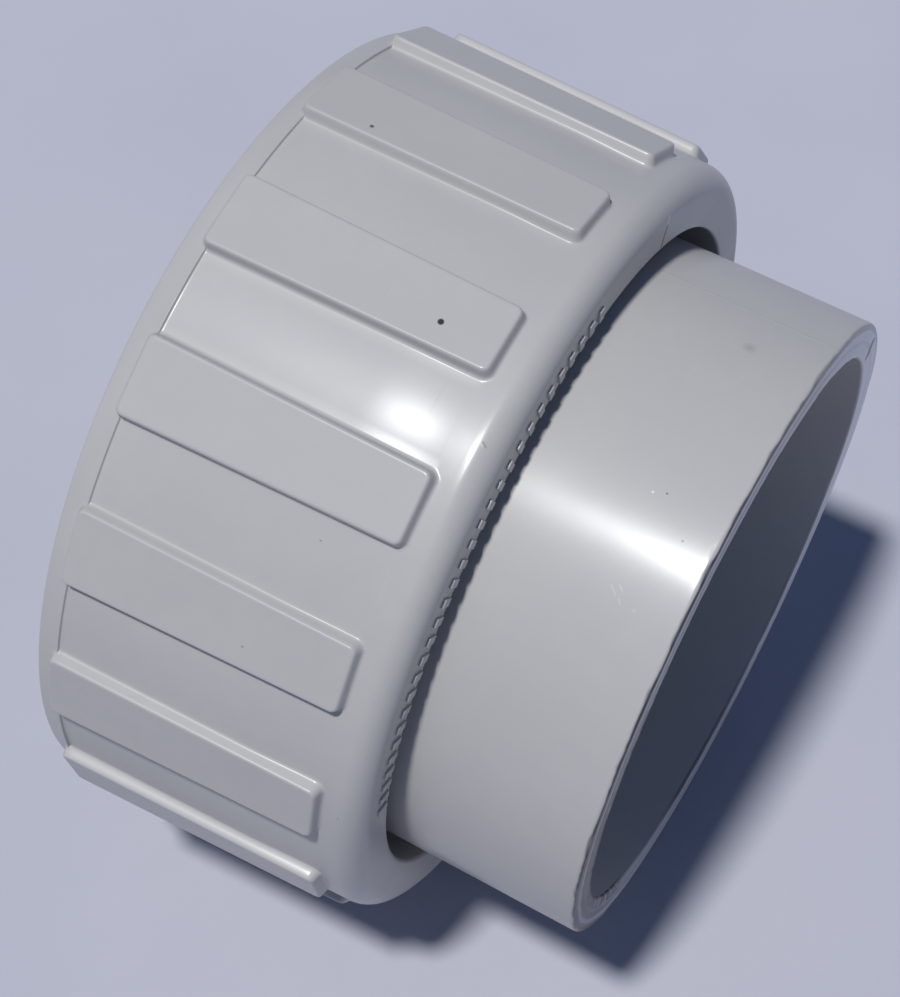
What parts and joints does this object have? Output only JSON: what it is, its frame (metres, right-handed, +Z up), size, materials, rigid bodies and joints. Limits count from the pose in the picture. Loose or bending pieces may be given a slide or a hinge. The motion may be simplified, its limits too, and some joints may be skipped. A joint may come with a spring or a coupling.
{
  "type": "pipe union",
  "caption": "Plastic pipe union with a large ribbed hand nut, a plain socket tailpiece and a hidden threaded half sealed by a rubber ring.",
  "frame": {"origin": "on the pipe axis, at the mouth of the threaded end's socket", "axes": "+X runs along the pipe axis towards the tailpiece's mouth; +Z is up when the nut lies on two of its ribs; +Y completes a right-handed frame"},
  "size_m": [0.058, 0.0884, 0.0884],
  "materials": {
    "nut_plastic": "glossy moulded pale grey plastic",
    "tail_plastic": "glossy moulded pale grey plastic",
    "end_plastic": "glossy moulded pale grey plastic",
    "seal_rubber": "matt black rubber"
  },
  "bodies": {
    "tail": {"tailpiece": "tail_plastic"},
    "nut": {"union_nut": "nut_plastic"},
    "threaded_half": {"threaded_end": "end_plastic", "seal_ring": "seal_rubber"}
  },
  "joints": [
    {"name": "nut_turn", "type": "hinge", "parent": "tail", "child": "nut", "pos_m": [0.0208, 0, 0], "axis": [1, 0, 0], "range_deg": [0, 1800]},
    {"name": "threaded_half_slide", "type": "slide", "parent": "tail", "child": "threaded_half", "axis": [-1, 0, 0], "range_m": [0, 0.025]}
  ],
  "couplings": [
    {"joint": "threaded_half_slide", "follows": "nut_turn", "m_per_rad": 0.00079577}
  ]
}
